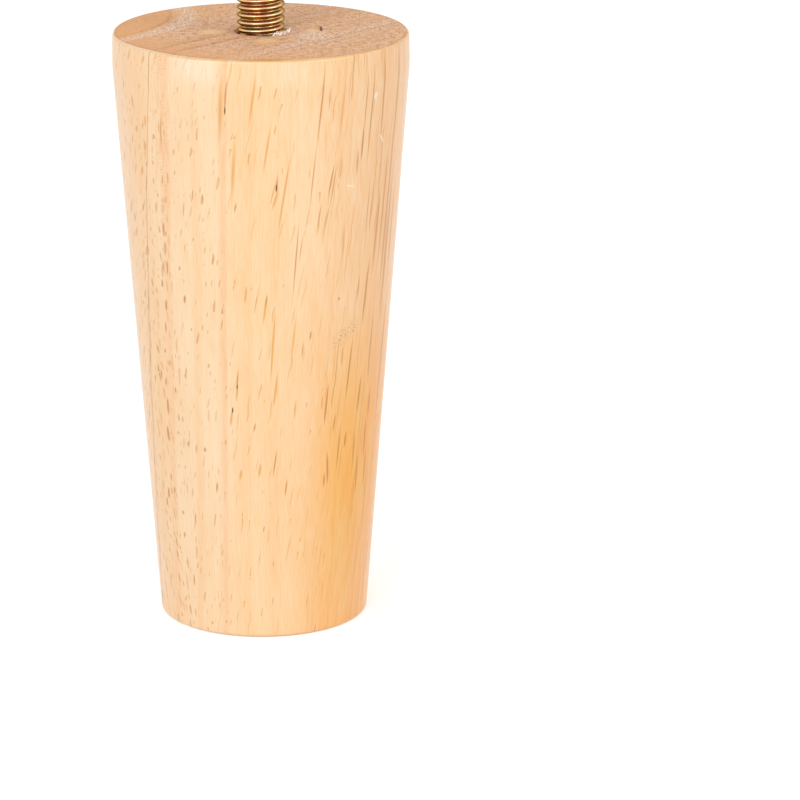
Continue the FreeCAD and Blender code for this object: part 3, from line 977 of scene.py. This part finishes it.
on_top = rise(z, 40, 60)
flat_place = vector(x, y, 0)
end = blend(rise(ring_slow, 0.35, 0.65), END_TAN, END_PINK)
mottle = noise(flat_place, 0.9, 4, 0.7)
end = blend(span(mottle, 0.5, 0.68, 0, 0.9), end, END_BROWN)
end = blend(span(mottle, 0.49, 0.32, 0, 0.95), end, END_LIGHT)
grit = noise(flat_place, 3, 2, 0.6)
end = blend(span(grit, 0.46, 0.3, 0, 0.7), end, END_BROWN)
end = tint(end, END_BROWN, rise(ring_fine, 0.52, 0.66), 0.4)
end = tint(end, END_BROWN, rise(y, 2, 22), 0.1)
end_sway = plus(ring, span(sway, 0, 1, -0.7, 0.7))
old_ring = calc("MULTIPLY_ADD", times(y, y), 0.0256, calc("MULTIPLY_ADD", y, -0.605, x))
old_ring = calc("MULTIPLY_ADD", plus(old_ring, 19.2), 0.85, span(sway, 0, 1, -0.5, 0.5))
print("speckled end grain ready")


# %% Ring lines and pores of the end
def ring_arc(past, dark, warm, reach, tone=END_WARM):
    """One ring line on the end, blended over it: a thin dark arc with a warm band before it."""
    arc_warm = times(rise(past, -reach, 0), rise(past, 0.15, -0.1))
    warmed = tint(end, tone, arc_warm, warm)
    thickness = span(mottle, 0.3, 0.7, 0.3, 0.9)
    gap = calc("ABSOLUTE", past)
    arc_dark = times(rise(gap, thickness, 0), dark)
    return blend(arc_dark, warmed, END_LINE)


end = ring_arc(old_ring, 0.75, 0.65, 6, END_ORANGE)
for middle, dark, warm, last in END_RINGS:
    fading = times(rise(y, last, last - 8), dark)
    end = ring_arc(minus(end_sway, middle), fading, warm, 2.4)

dots = wood.node(
    "ShaderNodeTexVoronoi", {"Vector": flat_place, "Scale": 1.5}, None, voronoi_dimensions="2D"
)
dot_chance = wood.node("ShaderNodeSeparateColor", {0: dots.outputs["Color"]}, None)
dot = rise(dots.outputs["Distance"], 0.22, 0.08)
dot = times(dot, calc("LESS_THAN", dot_chance.outputs[0], 0.6))
end = tint(end, END_BROWN, dot, 0.8)
end = blend(span(grit, 0.55, 0.7, 0, 0.9), end, END_LIGHT)
print("ring lines on the end:", len(END_RINGS) + 1)


# %% Patches, fuzz and pit of the end
def spot(middle_x, middle_y, reach):
    """A soft round spot on the end, from 0 at its edge to 1 in its middle."""
    gap = length(minus(x, middle_x), minus(y, middle_y))
    return rise(gap, reach, reach * 0.3)


margin = times(rise(from_axis, 13, 24), rise(degrees, 40, -20), not_behind)
end = tint(end, END_ORANGE, margin, 0.75)
behind_ring = times(bump_round(end_sway, 8.6, 4.5), rise(y, -2, 8))
end = tint(end, END_BROWN, behind_ring, 0.12)

yellow = larger(spot(-8, -1, 3), spot(1.2, -8, 2.8), spot(8.6, 0.2, 1.8))
yellow = times(yellow, span(grit, 0.4, 0.62, 1, 0.35), on_top)
end = blend(yellow, end, PATCH_YELLOW)
fuzz_left = times(bump_round(old_ring, 2.6, 2.6), 0.85)
fuzz_right = times(bump_round(end_sway, 12, 3), 0.6)
fuzz_zone = larger(fuzz_left, spot(8.8, -4, 4.5), fuzz_right)
fuzz_speck = rise(noise(flat_place, 2.2, 3, 0.65), 0.47, 0.61)
fuzz = times(fuzz_speck, on_top, span(fuzz_zone, 0, 0.8, 0.14, 1))
end = tint(end, FUZZ, fuzz, 0.95)
pit = times(bump_round(calc("MULTIPLY_ADD", y, 0.06, x), 10, 0.36), bump_round(y, 1.8, 2.8))
pit = times(rise(pit, 0, 0.5), on_top)
end = blend(pit, end, PIT_BROWN)
end = blend(span(on_top, 0, 1, 0.5, 0), end, FOOT_TAN)
print("patches, fuzz and pit ready")

# %% Lacquer wrapped over the rim
wrap_narrow = larger(rise(degrees, 10, 60), rise(degrees, -45, -80))
wrap_start = plus(span(wrap_narrow, 0, 1, 23.35, 24.2), span(mottle, 0.3, 0.7, -0.2, 0.2))
past_wrap = minus(from_axis, wrap_start)
outline = times(bump_round(past_wrap, -0.1, 0.45), span(wrap_narrow, 0, 1, 0.8, 0.3))
end = blend(outline, end, END_BROWN)
# Painted shade: inside the bore's mouth, close round the stud, the end grain is coloured near
# black-brown.
mouth_shade = times(rise(from_axis, 4.12, 3.88), rise(z, 60, 90))
wrap = times(rise(past_wrap, -0.15, 0.2), rise(z, 50, 60))
print("wrapped lacquer ready")

# %% [markdown]
# ## Lacquer, rims and pores in relief
#
# The face's own direction says whether a point is side or end: the end grain faces straight up or
# down. On the rounded rims the lacquer gathers and turns golden. It fills the pores of the side, so
# only a faint fibre and a slow swell are in relief there, which keeps the highlight from being a
# perfect line. The bare end grain is rough.

# %% Wood shader
by_mouth = times(rise(from_axis, 6, 5.5), rise(z, 60, 90))
by_face = rise(steep, 0.8, 0.97)
is_end = larger(by_face, by_mouth)
bare_end = times(is_end, minus(1, wrap))
rim_patches = noise(vector(along_main, 0, 7), 0.35, 3, 0.6)
rim_gold = times(rise(steep, 0.6, 0.85), rise(degrees, -60, -10), not_behind)
rim_gold = times(rim_gold, span(rim_patches, 0.35, 0.65, 0.3, 1))

surface = blend(rim_gold, side, RIM_TONE)
surface = blend(bare_end, surface, end)
# Painted shade in the bore's mouth.
surface = blend(mouth_shade, surface, MOUTH_SHADE_BROWN)
chip = times(bump_round(x, 0.9, 1.8), bump_round(y, -4.8, 0.9))
chip = times(rise(chip, 0.1, 0.5), on_top)
surface = tint(surface, CHIP_GREY, chip, 0.8)

ring_uneven = noise(flat_place, 0.3, 2)
foot_ring = times(bump_round(from_axis, RING_RADIUS, 0.55), rise(ring_uneven, 0.35, 0.55))
foot_mark = times(larger(foot_ring, rise(from_axis, 2.2, 1.2)), rise(z, 12, 6))
surface = tint(surface, FOOT_GOLD, foot_mark, 0.8)
wood.give("Base Color", surface)

gloss = noise(place, 0.5, 3)
side_rough = span(gloss, 0.3, 0.7, 0.36, 0.46)
dull = times(bare_end, on_top)
wood.give("Roughness", pick(dull, side_rough, 0.75))
wood.give("Coat Weight", pick(dull, 0.45, 0.03))
wood.give("Coat Roughness", 0.22)
wood.give("Specular IOR Level", 0.35)

end_relief = plus(times(dot, -0.08), times(mottle, 0.25))
swell = noise(vector(around, times(z, 0.3)), 0.25, 1)
side_relief = plus(times(fibre, 0.012), times(swell, 0.12))
relief = times(pick(times(by_face, on_top), side_relief, end_relief), MM)
bump = wood.node("ShaderNodeBump", {"Height": relief, "Distance": 1, "Strength": 0.8}, "Normal")
wood.give("Normal", bump)
leg.data.materials.append(wood.material)
print("wood finish:", len(wood.tree.nodes), "nodes")

raw_wood = Finish("torn_wood")
raw_wood.give("Base Color", colour(1.0, 0.95, 0.88))
raw_wood.give("Roughness", 0.7)
fibres.data.materials.append(raw_wood.material)

# %% [markdown]
# ## Yellow zinc on the bolt
#
# The bolt's zinc plating has a yellow passivate, a thin film that is gold with hints of green and
# pink. It is a metal whose colour drifts slowly over the surface. Shade is painted into it: the
# roots are a little darker, the lower flanks that face down are nearly black-brown, a painted dark
# reflection and shade, and the edges seen at a grazing angle are darkened as a painted dark
# reflection, so the crests stay bright gold.

# %% Zinc finish
ZINC_GOLD = colour(0.93, 0.61, 0.3)
ZINC_GREEN = colour(0.66, 0.62, 0.32)
ZINC_RED = colour(0.78, 0.42, 0.22)
ZINC_PAINTED_SHADE = colour(0.2, 0.045, 0.01)
ZINC_EDGE_SHADE = colour(0.32, 0.2, 0.09)

zinc = Finish("yellow_zinc")
zinc_place = zinc.node("ShaderNodeTexCoord", {}, "Object")
zinc_place = zinc.node("ShaderNodeVectorMath", {0: zinc_place, "Scale": 1 / MM}, operation="SCALE")
zinc_x, zinc_y, _ = zinc.node("ShaderNodeSeparateXYZ", {0: zinc_place}, None).outputs
zinc_radius = zinc.plus(zinc.calc("POWER", zinc_x, 2.0), zinc.calc("POWER", zinc_y, 2.0))
zinc_radius = zinc.calc("SQRT", zinc_radius)
hue = zinc.noise(zinc_place, 0.35, 3.0)
metal = zinc.blend(zinc.rise(hue, 0.5, 0.68), ZINC_GOLD, ZINC_GREEN)
metal = zinc.blend(zinc.rise(hue, 0.48, 0.34), metal, ZINC_RED)
# Painted shade: the thread's roots are darkened a little by their depth under the crest.
painted_root_shade = zinc.rise(zinc_radius, STUD_RADIUS - 0.35, STUD_RADIUS - STUD_DEPTH)
metal = zinc.tint(metal, ZINC_PAINTED_SHADE, painted_root_shade, 0.15)
# Painted dark reflection and shade: faces that look down, the lower flanks, turn nearly black-brown.
slope = zinc.node("ShaderNodeSeparateXYZ", {0: zinc.node("ShaderNodeNewGeometry", {}, "Normal")}, 2)
metal = zinc.tint(metal, ZINC_PAINTED_SHADE, zinc.rise(slope, 0.12, -0.3), 0.97)
# Painted dark reflection: faces seen at a grazing angle, at the stud's edges, are darkened.
turned_away = zinc.node("ShaderNodeLayerWeight", {"Blend": 0.5}, "Facing")
metal = zinc.tint(metal, ZINC_EDGE_SHADE, zinc.rise(turned_away, 0.4, 0.85), 0.8)
zinc.give("Base Color", metal)
zinc.give("Metallic", 1.0)
zinc.give("Specular Tint", colour(0.5, 0.36, 0.2))
grain = zinc.noise(zinc_place, 9.0, 3.0)
zinc.give("Roughness", zinc.span(grain, 0.3, 0.7, 0.2, 0.36))
zinc_bump = zinc.node("ShaderNodeBump", {"Height": zinc.times(grain, 0.02 * MM), "Distance": 1.0,
                                         "Strength": 0.6}, "Normal")
zinc.give("Normal", zinc_bump)
bolt.data.materials.append(zinc.material)
print("zinc finish:", len(zinc.tree.nodes), "nodes")
